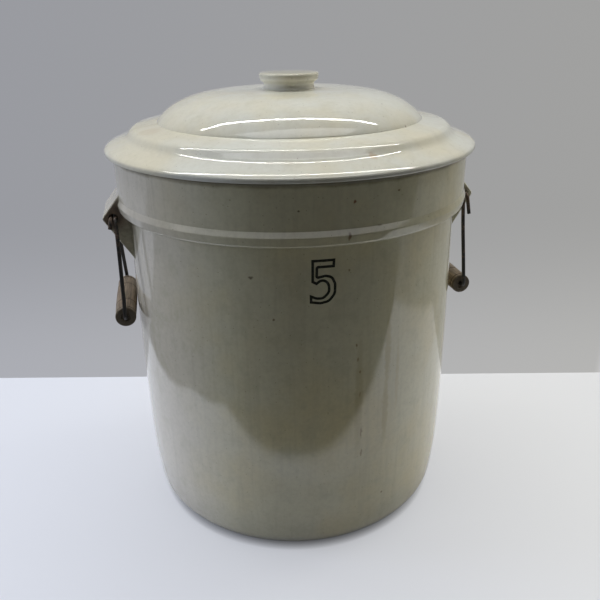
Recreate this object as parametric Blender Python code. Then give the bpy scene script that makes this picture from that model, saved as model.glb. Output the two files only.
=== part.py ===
"""Stoneware crock with a domed lid and two wire bails that carry turned wooden grips.

Metres, +Z up. The origin is the middle of the foot. The ears stand at +X and -X, and the marked
front faces -Y. Run it with blender --background --python part.py, or from the text editor.
"""

import math

import bmesh
import bpy
from mathutils import Vector

# Crock body
RIM_HEIGHT = 0.3532
SHOULDER_RADIUS = 0.1520
BELLY_SWELL = 0.0023
BELLY_HEIGHT = 0.150
FOOT_INSET = 0.0065
HEEL_FULLNESS = 3.2
SHOULDER_FULLNESS = 2.0
WALL = 0.0085
INNER_DRAFT = 0.0010
FLOOR_THICKNESS = 0.014
FOOT_ROUNDING = 0.021
INNER_CORNER_ROUNDING = 0.022

# Collar and the rolled bead under it
COLLAR_STEP = 0.0086
COLLAR_HEIGHT = 0.0364
BEAD_HEIGHT = 0.0076
BEAD_PROUD = 0.0018
BEAD_SHOULDER = 0.0050
BEAD_UNDERCUT = 0.0005
BEAD_ROUNDING = 0.0030
RIM_ROUNDING = 0.0035
NECK_FILLET = 0.0045

# Ears, moulded on the collar and the body
EAR_LENGTH = 0.057
EAR_REACH = 0.0144
EAR_RIDGE_DROP = 0.0527
EAR_TOP_DROP = 0.0348
EAR_FOOT_DROP = 0.0882
EAR_ROOT_DEPTH = 0.0075
EAR_RIDGE_ROUNDING = 0.0035
EAR_END_ROUNDING = 0.0018
EAR_BORE_INSET = 0.0099

# Lid, measured from the face that sits on the rim
SEAT_GAP = 0.0003
LID_OVERHANG = 0.0065
FLANGE_EDGE = 0.0060
FLANGE_TOP_ROUNDING = 0.0021
FLANGE_FOOT_ROUNDING = 0.0014
FLANGE_RISE = 0.0066
STEP_INSET = 0.0205
STEP_HEIGHT = 0.0062
STEP_DRAFT = 0.0035
STEP_ROUNDING = 0.0026
LEDGE_WIDTH = 0.0235
LEDGE_RISE = 0.0044
DOME_HEIGHT = 0.0246
DOME_FULLNESS = 4.7
DOME_SOFTNESS = 0.83
LID_WALL = 0.0085
SPIGOT_DEPTH = 0.0100
SPIGOT_WIDTH = 0.0080
SPIGOT_CLEARANCE = 0.0030
SPIGOT_ROUNDING = 0.0020
HOLLOW_ROUNDING = 0.0050

# Knob on the lid
KNOB_RADIUS = 0.0270
KNOB_RISE = 0.0140
KNOB_RIM = 0.0045
KNOB_UNDERCUT = 0.0050
KNOB_NECK_RADIUS = 0.0227
KNOB_EDGE_ROUNDING = 0.0020
KNOB_NECK_FILLET = 0.0026
KNOB_CROWN = 0.0006

# Bails, each one piece of wire
WIRE_RADIUS = 0.00175
WIRE_PAIR_GAP = 0.0005
BORE_CLEARANCE = 0.00045
BEND_RADIUS = 0.0040
EAR_END_GAP = 0.0008
BAIL_DROP = 0.0893
LEFT_TAIL_LENGTH = 0.0080
RIGHT_TAIL_LENGTH = 0.0190
TAIL_LEAN = 0.0035

# Grips, turned and bored
GRIP_LENGTH = 0.085
GRIP_RADIUS = 0.0100
GRIP_END_RADIUS = 0.0098
GRIP_WAIST_RADIUS = 0.0093
GRIP_END_ROUNDING = 0.0012
GRIP_BORE_CLEARANCE = 0.00035
GRIP_END_GAP = 0.0015
GRIP_GROOVE_INSET = 0.0225
GRIP_GROOVE_WIDTH = 0.0016
GRIP_GROOVE_DEPTH = 0.0007
GRIP_WALL_GAP = 0.0005

# A cutter or a root runs this far past the face that it cuts or joins
OVERRUN = 0.004
# Points closer than this are one point
WELD_DISTANCE = 0.000001
SHARP_ANGLE = math.radians(38)

# Facets
TURN_STEPS = 56
FILLET_STEPS = 3
WALL_STEPS = 6
DOME_STEPS = 8
WIRE_BEND_STEPS = 6
GRIP_TURN_STEPS = 24
GRIP_BARREL_STEPS = 4
BORE_TURN_STEPS = 20

# Sizes that follow from the ones above
BELLY_RADIUS = SHOULDER_RADIUS + BELLY_SWELL
FOOT_RADIUS = BELLY_RADIUS - FOOT_INSET
COLLAR_RADIUS = SHOULDER_RADIUS + COLLAR_STEP
MOUTH_RADIUS = SHOULDER_RADIUS - WALL
COLLAR_FOOT = RIM_HEIGHT - COLLAR_HEIGHT
SHOULDER_HEIGHT = COLLAR_FOOT - BEAD_HEIGHT - BEAD_SHOULDER - BEAD_UNDERCUT

EAR_RIDGE_X = COLLAR_RADIUS + EAR_REACH
EAR_RIDGE_Z = RIM_HEIGHT - EAR_RIDGE_DROP
EAR_TOP_Z = RIM_HEIGHT - EAR_TOP_DROP
EAR_FOOT_Z = RIM_HEIGHT - EAR_FOOT_DROP
BORE_X = EAR_RIDGE_X - EAR_BORE_INSET
BORE_Z = EAR_RIDGE_Z
WIRE_OFFSET = WIRE_RADIUS + WIRE_PAIR_GAP / 2
BORE_RADIUS = WIRE_OFFSET + WIRE_RADIUS + BORE_CLEARANCE

LID_RADIUS = COLLAR_RADIUS + LID_OVERHANG
STEP_FOOT_RADIUS = LID_RADIUS - STEP_INSET
STEP_TOP_RADIUS = STEP_FOOT_RADIUS - STEP_DRAFT
DOME_RADIUS = STEP_TOP_RADIUS - LEDGE_WIDTH
STEP_FOOT_Z = FLANGE_EDGE + FLANGE_RISE
STEP_TOP_Z = STEP_FOOT_Z + STEP_HEIGHT
DOME_FOOT_Z = STEP_TOP_Z + LEDGE_RISE
DOME_TOP_Z = DOME_FOOT_Z + DOME_HEIGHT
SPIGOT_RADIUS = MOUTH_RADIUS - SPIGOT_CLEARANCE

GRIP_Z = BORE_Z - BAIL_DROP


def body_radius(height):
    """Outer radius of the pot's wall, which bellies a little and draws in towards the foot."""
    if height < BELLY_HEIGHT:
        share = 1 - height / BELLY_HEIGHT
        return BELLY_RADIUS - (BELLY_RADIUS - FOOT_RADIUS) * share**HEEL_FULLNESS
    share = (height - BELLY_HEIGHT) / (SHOULDER_HEIGHT - BELLY_HEIGHT)
    return BELLY_RADIUS - (BELLY_RADIUS - SHOULDER_RADIUS) * share**SHOULDER_FULLNESS


GRIP_X = body_radius(GRIP_Z) + GRIP_RADIUS + GRIP_WALL_GAP
GRIP_BORE_RADIUS = WIRE_RADIUS + GRIP_BORE_CLEARANCE


def fillet(corners, steps):
    """The path through the corners, each a point and a rounding radius, with its bends as arcs."""
    path = []
    for index, (point, radius) in enumerate(corners):
        here = Vector(point)
        if radius == 0:
            path.append(here)
            continue
        before = Vector(corners[index - 1][0]) - here
        after = Vector(corners[index + 1][0]) - here
        half_angle = before.angle(after) / 2
        # A rounding never takes more than half of the shorter stretch beside it
        reach = min(radius / math.tan(half_angle), before.length / 2, after.length / 2)
        fitted = reach * math.tan(half_angle)
        towards = (before.normalized() + after.normalized()).normalized()
        centre = here + towards * (fitted / math.sin(half_angle))
        start = here + before.normalized() * reach - centre
        end = here + after.normalized() * reach - centre
        turn = start.angle(end)
        for step in range(steps + 1):
            along = turn * step / steps
            part_start = math.sin(turn - along) / math.sin(turn)
            part_end = math.sin(along) / math.sin(turn)
            path.append(centre + start * part_start + end * part_end)
    return path


def corner(radius, height, rounding=0):
    """One corner of a turned profile, which lies in the plane of +X and +Z."""
    return (radius, 0, height), rounding


def mesh_object(name, bm, location):
    """A smooth-shaded object from a bmesh, with its hard corners kept sharp."""
    mesh = bpy.data.meshes.new(name)
    bm.to_mesh(mesh)
    bm.free()
    mesh.shade_smooth()
    mesh.set_sharp_from_angle(angle=SHARP_ANGLE)
    made = bpy.data.objects.new(name, mesh)
    made.location = location
    bpy.context.collection.objects.link(made)
    return made


def turned(name, profile, steps, axis=(0, 0, 1), location=(0, 0, 0), ring=False):
    """A solid of revolution. A ring's profile closes on itself, any other starts and ends on the axis."""
    bm = bmesh.new()
    points = [bm.verts.new(point) for point in profile]
    edges = [bm.edges.new(pair) for pair in zip(points, points[1:])]
    if ring:
        edges.append(bm.edges.new((points[-1], points[0])))
    bmesh.ops.spin(
        bm,
        geom=points + edges,
        cent=(0, 0, 0),
        axis=axis,
        angle=math.tau,
        steps=steps,
        use_merge=True,
    )
    bmesh.ops.remove_doubles(bm, verts=bm.verts, dist=WELD_DISTANCE)
    bmesh.ops.recalc_face_normals(bm, faces=bm.faces)
    return mesh_object(name, bm, location)


def material(name, colour, roughness, metallic=0.0):
    """A plain Principled material."""
    made = bpy.data.materials.new(name)
    made.use_nodes = True
    shader = made.node_tree.nodes["Principled BSDF"]
    shader.inputs["Base Color"].default_value = (*colour, 1)
    shader.inputs["Roughness"].default_value = roughness
    shader.inputs["Metallic"].default_value = metallic
    return made


def add_boolean(target, helper, operation):
    """Joins a helper to the target, or cuts it away. The helper stays out of the render."""
    helper.hide_render = True
    helper.display_type = "WIRE"
    modifier = target.modifiers.new(helper.name, "BOOLEAN")
    modifier.object = helper
    modifier.operation = operation
    modifier.solver = "EXACT"


def make_pot():
    """The pot alone: foot, tapered wall, neck, bead, collar and rim, then the inside."""
    bead_radius = COLLAR_RADIUS + BEAD_PROUD
    bead_top = COLLAR_FOOT - BEAD_SHOULDER
    bead_foot = bead_top - BEAD_HEIGHT
    wall_heights = [SHOULDER_HEIGHT * step / WALL_STEPS for step in range(1, WALL_STEPS)]
    corners = [
        corner(0, 0),
        corner(FOOT_RADIUS, 0, FOOT_ROUNDING),
        *(corner(body_radius(height), height) for height in wall_heights),
        corner(SHOULDER_RADIUS, SHOULDER_HEIGHT, NECK_FILLET),
        corner(bead_radius, bead_foot, BEAD_ROUNDING),
        corner(bead_radius, bead_top, BEAD_ROUNDING),
        corner(COLLAR_RADIUS, COLLAR_FOOT, BEAD_SHOULDER),
        corner(COLLAR_RADIUS, RIM_HEIGHT, RIM_ROUNDING),
        corner(MOUTH_RADIUS, RIM_HEIGHT, RIM_ROUNDING),
        corner(MOUTH_RADIUS - INNER_DRAFT, FLOOR_THICKNESS, INNER_CORNER_ROUNDING),
        corner(0, FLOOR_THICKNESS),
    ]
    return turned("crock", fillet(corners, FILLET_STEPS), TURN_STEPS)


def make_ear(side, name):
    """A lug with a three-sided section, run along Y, whose root lies inside the wall."""
    root_x = body_radius(EAR_FOOT_Z) - EAR_ROOT_DEPTH
    slope = (EAR_TOP_Z - EAR_RIDGE_Z) / EAR_REACH
    root_top = EAR_RIDGE_Z + slope * (EAR_RIDGE_X - root_x)
    under_slope = (EAR_RIDGE_Z - EAR_FOOT_Z) / (EAR_RIDGE_X - body_radius(EAR_FOOT_Z))
    root_foot = EAR_RIDGE_Z - under_slope * (EAR_RIDGE_X - root_x)
    outline = fillet(
        [
            corner(root_x, root_top),
            corner(root_x, root_foot),
            corner(EAR_RIDGE_X, EAR_RIDGE_Z, EAR_RIDGE_ROUNDING),
            corner(root_x, root_top),
        ],
        FILLET_STEPS,
    )[:-1]
    bm = bmesh.new()
    start_y = Vector((0, -EAR_LENGTH / 2, 0))
    face = bm.faces.new([bm.verts.new(point + start_y) for point in outline])
    grown = bmesh.ops.extrude_face_region(bm, geom=[face])
    far_points = [item for item in grown["geom"] if isinstance(item, bmesh.types.BMVert)]
    bmesh.ops.translate(bm, verts=far_points, vec=(0, EAR_LENGTH, 0))
    end_edges = [edge for edge in bm.edges if edge.verts[0].co.y == edge.verts[1].co.y]
    bmesh.ops.bevel(
        bm,
        geom=end_edges,
        offset=EAR_END_ROUNDING,
        affect="EDGES",
        segments=2,
        profile=0.5,
        material=-1,
    )
    bmesh.ops.scale(bm, vec=(side, 1, 1), verts=bm.verts)
    bmesh.ops.recalc_face_normals(bm, faces=bm.faces)
    return mesh_object(name, bm, (0, 0, 0))


def make_rod(name, radius, length, steps, location):
    """A plain cylinder along Y, used to cut a bore."""
    profile = [
        (0, -length / 2, 0),
        (radius, -length / 2, 0),
        (radius, length / 2, 0),
        (0, length / 2, 0),
    ]
    return turned(name, profile, steps, axis=(0, 1, 0), location=location)


def make_crock(glaze):
    """The pot with its two ears joined on, and a bore right through each ear."""
    crock = make_pot()
    for side, word in ((-1, "left"), (1, "right")):
        add_boolean(crock, make_ear(side, word + "_ear"), "UNION")
    for side, word in ((-1, "left"), (1, "right")):
        cutter = make_rod(
            word + "_ear_bore",
            BORE_RADIUS,
            EAR_LENGTH + 2 * OVERRUN,
            BORE_TURN_STEPS,
            (side * BORE_X, 0, BORE_Z),
        )
        add_boolean(crock, cutter, "DIFFERENCE")
    crock.data.materials.append(glaze)
    return crock


def dome_curve(radius, foot_height, height, start_radius, steps):
    """Points of a dome from start_radius out to its foot: flat on top, and steep at the foot."""
    start_angle = math.asin(start_radius / radius)
    points = []
    for step in range(steps + 1):
        angle = start_angle + (math.pi / 2 - start_angle) * step / steps
        out_share = math.sin(angle)
        rise_share = max(1 - out_share**DOME_FULLNESS, 0) ** DOME_SOFTNESS
        points.append(corner(radius * out_share, foot_height + height * rise_share))
    return points


def make_lid(glaze):
    """Knob, dome, ledge, step and flange on top, and a hollow inside the locating spigot."""
    knob_top = DOME_TOP_Z + KNOB_RISE
    knob_rim_foot = knob_top - KNOB_RIM
    neck_top = knob_rim_foot - KNOB_UNDERCUT
    spread = KNOB_NECK_RADIUS + KNOB_NECK_FILLET
    outer_dome = dome_curve(DOME_RADIUS, DOME_FOOT_Z, DOME_HEIGHT, spread, DOME_STEPS)
    hollow_radius = DOME_RADIUS - LID_WALL
    inner_dome = dome_curve(
        hollow_radius, DOME_FOOT_Z - LID_WALL, DOME_HEIGHT, 0, DOME_STEPS - 2
    )
    spigot_inner = SPIGOT_RADIUS - SPIGOT_WIDTH
    under_step = STEP_TOP_Z - LID_WALL
    corners = [
        corner(0, knob_top + KNOB_CROWN),
        corner(KNOB_RADIUS, knob_top, KNOB_EDGE_ROUNDING),
        corner(KNOB_RADIUS - KNOB_CROWN, knob_rim_foot, KNOB_EDGE_ROUNDING),
        corner(KNOB_NECK_RADIUS, neck_top, KNOB_EDGE_ROUNDING),
        corner(KNOB_NECK_RADIUS, DOME_TOP_Z, KNOB_NECK_FILLET),
        *outer_dome,
        corner(STEP_TOP_RADIUS, STEP_TOP_Z, STEP_ROUNDING),
        corner(STEP_FOOT_RADIUS, STEP_FOOT_Z, STEP_ROUNDING),
        corner(LID_RADIUS, FLANGE_EDGE, FLANGE_TOP_ROUNDING),
        corner(LID_RADIUS, 0, FLANGE_FOOT_ROUNDING),
        corner(SPIGOT_RADIUS, 0),
        corner(SPIGOT_RADIUS, -SPIGOT_DEPTH, SPIGOT_ROUNDING),
        corner(spigot_inner, -SPIGOT_DEPTH, SPIGOT_ROUNDING),
        corner(spigot_inner, under_step, HOLLOW_ROUNDING),
        *reversed(inner_dome),
    ]
    profile = fillet(corners, FILLET_STEPS)
    seat = (0, 0, RIM_HEIGHT + SEAT_GAP)
    lid = turned("lid", profile, TURN_STEPS, location=seat)
    lid.data.materials.append(glaze)
    return lid


def bail_route(side, tail_length):
    """The wire from one tail to the other, about the middle of the ear's bore.

    Each end runs right through the ear beside the other one and is bent down there, so the front
    leg is the inner run and the back leg the outer one, and both meet in the grip.
    """
    top_y = EAR_LENGTH / 2 + EAR_END_GAP + BEND_RADIUS
    grip_y = GRIP_LENGTH / 2 + GRIP_END_GAP + BEND_RADIUS
    grip_x = GRIP_X - BORE_X
    tail_x = WIRE_OFFSET + TAIL_LEAN * tail_length / RIGHT_TAIL_LENGTH
    places = [
        ((tail_x, -top_y, -tail_length), 0),
        ((WIRE_OFFSET, -top_y, 0), BEND_RADIUS),
        ((WIRE_OFFSET, top_y, 0), BEND_RADIUS),
        ((grip_x, grip_y, -BAIL_DROP), BEND_RADIUS),
        ((grip_x, -grip_y, -BAIL_DROP), BEND_RADIUS),
        ((-WIRE_OFFSET, -top_y, 0), BEND_RADIUS),
        ((-WIRE_OFFSET, top_y, 0), BEND_RADIUS),
        ((-tail_x, top_y, -tail_length), 0),
    ]
    handed = [((side * x, y, z), bend) for (x, y, z), bend in places]
    return fillet(handed, WIRE_BEND_STEPS)


def make_bail(side, word, tail_length, iron):
    """One bent wire, with its origin on the axis that it swings about."""
    route = bail_route(side, tail_length)
    curve = bpy.data.curves.new(word + "_bail", "CURVE")
    curve.dimensions = "3D"
    curve.bevel_depth = WIRE_RADIUS
    curve.bevel_resolution = 2
    curve.use_fill_caps = True
    spline = curve.splines.new("POLY")
    spline.points.add(len(route) - 1)
    for point, place in zip(spline.points, route):
        point.co = (*place, 1)
    bail = bpy.data.objects.new(word + "_bail", curve)
    bail.location = (side * BORE_X, 0, BORE_Z)
    bail.data.materials.append(iron)
    bpy.context.collection.objects.link(bail)
    return bail


def groove(middle):
    """The corners of one turned groove round the grip, at a place along it."""
    half = GRIP_GROOVE_WIDTH / 2
    rim = barrel_radius(middle)
    return [
        (rim, middle - half),
        (rim - GRIP_GROOVE_DEPTH, middle),
        (rim, middle + half),
    ]


def barrel_radius(along):
    """Radius of the grip's barrel, fullest in the middle."""
    share = along / (GRIP_LENGTH / 2)
    return GRIP_WAIST_RADIUS + (GRIP_RADIUS - GRIP_WAIST_RADIUS) * (1 - share**2)


def make_grip(side, word, bail, wood):
    """A bored barrel with a bead at each end and two turned grooves, free to turn on the wire."""
    half = GRIP_LENGTH / 2
    groove_place = half - GRIP_GROOVE_INSET
    bead_width = GRIP_END_RADIUS / 2
    bead_place = half - bead_width
    between = [
        groove_place * (2 * step / GRIP_BARREL_STEPS - 1)
        for step in range(1, GRIP_BARREL_STEPS)
    ]
    outline = [
        (barrel_radius(bead_place), -bead_place),
        *groove(-groove_place),
        *((barrel_radius(place), place) for place in between),
        *groove(groove_place),
        (barrel_radius(bead_place), bead_place),
    ]
    shoulder = half - bead_width + GRIP_END_ROUNDING
    corners = [
        ((GRIP_BORE_RADIUS, -half, 0), 0),
        ((GRIP_END_RADIUS, -half, 0), GRIP_END_ROUNDING),
        ((GRIP_END_RADIUS, -shoulder, 0), 0),
        *(((radius, along, 0), 0) for radius, along in outline),
        ((GRIP_END_RADIUS, shoulder, 0), 0),
        ((GRIP_END_RADIUS, half, 0), GRIP_END_ROUNDING),
        ((GRIP_BORE_RADIUS, half, 0), 0),
    ]
    profile = fillet(corners, FILLET_STEPS)
    grip = turned(word + "_grip", profile, GRIP_TURN_STEPS, axis=(0, 1, 0), ring=True)
    grip.parent = bail
    grip.location = (side * (GRIP_X - BORE_X), 0, GRIP_Z - BORE_Z)
    grip.data.materials.append(wood)
    return grip


def main():
    for old in list(bpy.data.objects):
        bpy.data.objects.remove(old)
    make_crock(material("crock_glaze", (0.56, 0.53, 0.44), 0.16))
    make_lid(material("lid_glaze", (0.63, 0.61, 0.52), 0.14))
    iron = material("rusty_iron", (0.06, 0.045, 0.035), 0.62, metallic=0.6)
    wood = material("turned_wood", (0.24, 0.14, 0.075), 0.6)
    for side, word, tail_length in (
        (-1, "left", LEFT_TAIL_LENGTH),
        (1, "right", RIGHT_TAIL_LENGTH),
    ):
        bail = make_bail(side, word, tail_length, iron)
        make_grip(side, word, bail, wood)


main()
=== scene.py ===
"""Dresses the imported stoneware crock: pot, ears, lid, bails, grips, capacity numeral and stage."""

import math

import bmesh
import bpy
from mathutils import Euler, Matrix, Vector


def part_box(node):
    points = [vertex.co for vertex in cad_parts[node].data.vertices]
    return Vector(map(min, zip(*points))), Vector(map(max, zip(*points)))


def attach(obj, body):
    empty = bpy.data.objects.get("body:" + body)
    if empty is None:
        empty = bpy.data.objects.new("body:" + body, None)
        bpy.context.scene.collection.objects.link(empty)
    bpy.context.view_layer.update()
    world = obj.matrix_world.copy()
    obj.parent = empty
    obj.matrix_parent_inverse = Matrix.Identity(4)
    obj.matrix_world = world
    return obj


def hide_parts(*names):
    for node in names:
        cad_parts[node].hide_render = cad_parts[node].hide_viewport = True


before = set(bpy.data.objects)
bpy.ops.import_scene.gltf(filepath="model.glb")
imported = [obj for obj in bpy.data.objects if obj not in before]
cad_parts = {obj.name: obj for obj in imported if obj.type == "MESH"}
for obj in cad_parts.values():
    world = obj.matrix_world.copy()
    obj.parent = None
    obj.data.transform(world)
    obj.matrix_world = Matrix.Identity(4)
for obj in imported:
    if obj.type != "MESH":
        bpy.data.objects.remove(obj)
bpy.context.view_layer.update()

bl_info = {
    "name": "Stoneware crock",
    "version": (1, 0, 0),
    "blender": (4, 5, 0),
    "location": "3D View > Sidebar > Crock",
    "description": "Makes the glazed surfaces, wires, grips and stage of a lidded stoneware crock",
    "category": "Object",
}

# Pot, in metres, with its foot, neck and bead a little softer than the solid's
RIM_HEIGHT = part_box("crock")[1].z
SHOULDER_RADIUS = 0.1520
BELLY_RADIUS = 0.1543
BELLY_HEIGHT = 0.150
FOOT_RADIUS = 0.1478
HEEL_FULLNESS = 3.2
SHOULDER_FULLNESS = 2.0
SHOULDER_HEIGHT = 0.3037
FOOT_ROUNDING = 0.024
COLLAR_RADIUS = 0.1606
COLLAR_FOOT = 0.3168
BEAD_RADIUS = 0.1624
BEAD_CREST = 0.3118
BEAD_FOOT = 0.3042
BEAD_DRAW = 0.0014
BEAD_ROUNDING = 0.0026
BEAD_SHOULDER = 0.0012
NECK_FILLET = 0.0035
RIM_ROUNDING = 0.0035
MOUTH_RADIUS = 0.1435
INNER_RADIUS = 0.1425
INNER_FLOOR = 0.014
INNER_ROUNDING = 0.022

# Ears
EAR_RIDGE_X = 0.1750
EAR_RIDGE_Z = 0.3005
EAR_RIDGE_ROUNDING = 0.0026
EAR_TOP = 0.3184
EAR_FOOT = 0.2650
EAR_ROOT_DEPTH = 0.0075
EAR_LENGTH = 0.057
BORE_X = 0.1651
BORE_Z = 0.3005
BORE_RADIUS = 0.0042

# The patch of wall that each ear grows out of, which lies just under the pot's face
PATCH_SINK = 0.0002
PATCH_DEPTH = 0.006
PATCH_LOW = EAR_FOOT - 0.012
PATCH_HIGH = RIM_HEIGHT - 0.018
PATCH_TURN = math.radians(34)
PATCH_STEPS = 24

# Lid, its heights measured from the face that sits on the rim
SEAT_GAP = 0.0003
LID_SEAT = RIM_HEIGHT + SEAT_GAP
LID_RADIUS = 0.1671
LID_WALL = 0.0085
FLANGE_BROW_INSET = 0.0030
FLANGE_BROW = 0.0058
FLANGE_BROW_ROUNDING = 0.013
FLANGE_LIP = 0.0036
FLANGE_LIP_ROUNDING = 0.0028
FLANGE_FOOT_ROUNDING = 0.0014
STEP_FOOT_RADIUS = 0.1482
STEP_FOOT = 0.0122
STEP_FOOT_ROUNDING = 0.012
STEP_TOP_RADIUS = 0.1425
STEP_TOP = 0.0192
STEP_TOP_ROUNDING = 0.009
DOME_RADIUS = 0.1196
DOME_FOOT = 0.0232
DOME_HEIGHT = 0.0246
DOME_FULLNESS = 4.7
DOME_SOFTNESS = 0.83
HOLLOW_ROUNDING = 0.0050
HOLLOW_STEPS = 20
SPIGOT_RADIUS = 0.1405
SPIGOT_INNER = 0.1325
SPIGOT_DEPTH = 0.010
SPIGOT_ROUNDING = 0.0020
KNOB_RADIUS = 0.0270
KNOB_RISE = 0.0140
KNOB_RIM = 0.0056
KNOB_UNDERCUT = 0.0030
KNOB_ROUNDING = 0.0020
KNOB_CROWN = 0.0006
KNOB_NECK_RADIUS = 0.0227
KNOB_NECK_FILLET = 0.0026

# Bails, their routes measured from the middle of the ear's bore
WIRE_OFFSET = 0.0020
BEND_RADIUS = 0.0040
EAR_END_GAP = 0.0008
TAIL_LENGTHS = {"left": 0.0080, "right": 0.0190}
TAIL_LEAN = 0.0035
BAIL_DROP = 0.0893
LEG_STEPS = 10
LEG_ROUNDING = 0.02
LEG_BOW_SHARE = 0.6
CAP_ROUNDING_SHARE = 0.35

# Grips, with places along each one measured from its middle
GRIP_X = 0.164435
GRIP_Z = 0.2112
GRIP_HALF_LENGTH = 0.0425
GRIP_END_GAP = 0.0015
GRIP_WAIST_SHARE = 0.93
GRIP_RIM_DROP = 0.0004
GRIP_RIM_ROUNDING = 0.0014
GROOVE_PLACE = 0.0200
GROOVE_HALF_WIDTH = 0.0008
GROOVE_LIP_ROUNDING = 0.0002
BEAD_GROOVE_PLACE = 0.0376
BEAD_GROOVE_HALF_WIDTH = 0.0004
BEAD_RISE = 0.0010
BEAD_RISE_ROUNDING = 0.0006
EDGE_ROUNDING = 0.0003
DISH_RADIUS = 0.0042
DISH_FOOT_RADIUS = 0.0036
DISH_DEPTH = 0.0012
DISH_ROUNDING = 0.0004
GRIP_BORE_RADIUS = 0.0021
GRIP_BORE_DEPTH = 0.0014
BARREL_PLACES = (0.004, 0.009, 0.014, 0.0185)
OUTER_BARREL_PLACES = (0.026, 0.031, 0.0355)

SIDES = (("left", -1), ("right", 1))
MILLIMETRE = 0.001
WELD_DISTANCE = 0.00001

# The glaze's tints, where it is cool or warm, and a bluish grey at the left that is painted light
# from the left
COOL = (0.97, 1.0, 1.03)
WARM = (0.98, 0.945, 0.84)
LEFT_LIGHT_TINT = (0.98, 0.97, 1.15)

# Layers of stain in the glaze: a noise's scale along x, y and z, its roughness, the two values
# between which the stain comes in, the share it reaches, and its colour
GLAZE_LAYERS = {
    "runs": ((42.0, 42.0, 3.0), 0.6, 0.50, 0.80, 0.32, (0.40, 0.35, 0.24)),
    "threads": ((190.0, 190.0, 9.0), 0.6, 0.48, 0.72, 0.16, (0.34, 0.31, 0.22)),
    "grains": ((240.0, 240.0, 240.0), 0.7, 0.35, 0.75, 0.20, (0.33, 0.30, 0.22)),
    "blots": ((55.0, 55.0, 55.0), 0.6, 0.50, 0.72, 0.30, (0.40, 0.38, 0.26)),
}
# Iron specks in the glaze: scale of the grid, size and share of its cells, and colour
GLAZE_SPECKS = (
    (330.0, 0.17, 0.16, (0.14, 0.10, 0.06)),
    (95.0, 0.065, 0.05, (0.14, 0.095, 0.055)),
)
SPECK_STRENGTH = 0.55
# Colours mixed in towards the foot, along its edge and under the lid's flange: partly grime, partly
# painted shade and shadow
FOOT_GRIME_AND_SHADE = (0.20, 0.18, 0.125)
FOOT_EDGE_GRIME_AND_SHADE = (0.10, 0.10, 0.07)
RIM_SHADOW_AND_GRIME = (0.13, 0.11, 0.065)

# Iron spots, drips and stains: middle, reach along x, y and z (all in mm), colour, strength
POT_MARKS = (
    ((14.9, -159.9, 336.7), (1.4, 3.0, 2.0), (0.16, 0.035, 0.012), 0.8),
    ((-26.3, -158.4, 332.6), (1.0, 3.0, 1.0), (0.05, 0.035, 0.02), 0.8),
    ((51.9, -152.0, 341.2), (1.3, 3.0, 1.3), (0.10, 0.05, 0.02), 0.8),
    ((35.7, -157.9, 316.8), (3.2, 4.0, 1.6), (0.16, 0.13, 0.09), 0.5),
    ((11.0, -161.8, 311.6), (1.6, 4.0, 4.0), (0.12, 0.05, 0.02), 0.75),
    ((-60.6, -140.2, 277.3), (2.5, 3.0, 1.9), (0.11, 0.075, 0.05), 0.75),
    ((-45.3, -146.6, 242.8), (1.7, 3.0, 1.5), (0.12, 0.075, 0.04), 0.75),
    ((14.3, -152.0, 281.1), (1.7, 3.0, 1.6), (0.16, 0.11, 0.07), 0.6),
    ((51.2, -143.8, 53.0), (1.5, 3.0, 1.5), (0.12, 0.05, 0.02), 0.8),
    ((21.7, -152.3, 215.3), (1.3, 3.0, 2.2), (0.16, 0.08, 0.04), 0.7),
    ((22.9, -152.3, 201.3), (1.1, 3.0, 3.0), (0.16, 0.08, 0.04), 0.6),
    ((24.9, -152.1, 189.6), (1.1, 3.0, 1.8), (0.16, 0.08, 0.04), 0.7),
    ((25.5, -152.1, 167.3), (1.0, 3.0, 3.4), (0.18, 0.10, 0.05), 0.5),
    ((27.4, -151.8, 128.3), (1.2, 3.0, 7.0), (0.18, 0.10, 0.05), 0.55),
    ((28.0, -151.6, 108.0), (1.2, 3.0, 5.5), (0.18, 0.10, 0.05), 0.5),
    ((24.5, -152.1, 165.0), (5.0, 8.0, 75.0), (0.36, 0.30, 0.17), 0.38),
    ((51.2, -145.2, 203.0), (4.2, 6.0, 40.0), (0.40, 0.34, 0.17), 0.7),
    ((50.6, -145.4, 146.0), (4.4, 6.0, 42.0), (0.40, 0.34, 0.17), 0.7),
    ((62.0, -141.0, 172.0), (2.6, 6.0, 48.0), (0.48, 0.40, 0.24), 0.4),
)
LID_MARKS = (
    ((32.8, -145.0, 366.0), (4.4, 4.5, 6.0), (0.41, 0.29, 0.17), 0.65),
    ((63.4, -73.0, 393.5), (1.2, 1.2, 3.0), (0.14, 0.07, 0.03), 0.8),
    ((78.7, -90.0, 376.8), (1.2, 1.2, 3.0), (0.12, 0.06, 0.03), 0.8),
    ((-125.8, -37.8, 374.5), (14.0, 18.0, 6.0), (0.48, 0.40, 0.28), 0.35),
    ((0.0, 0.0, 416.0), (36.0, 36.0, 9.0), (0.30, 0.285, 0.19), 0.75),
)

# Corners of the numeral's outline, each along and up from its middle, with a rounding, in mm
NUMERAL = (
    (-8.8, 18.3, 0), (9.9, 18.3, 0), (9.5, 11.2, 0), (-3.6, 11.2, 0.3),
    (-3.8, 4.9, 0.2), (2.2, 6.0, 5.0), (8.0, 4.4, 6.0), (10.8, -2.0, 8.0),
    (10.6, -10.5, 8.0), (5.5, -17.2, 8.0), (-2.0, -18.6, 8.0), (-10.4, -17.2, 0),
    (-10.4, -9.8, 0), (-5.0, -12.3, 4.0), (-0.5, -12.6, 4.0), (4.0, -8.5, 5.0),
    (3.6, -1.8, 5.0), (-0.6, 0.9, 4.0), (-4.9, -2.4, 0), (-9.0, 0.0, 0),
)
INK_THICKNESS = 0.00018
INK_SINK = 0.0001
LONG_EDGE = 0.0024
LONG_EDGE_CUTS = 8

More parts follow.
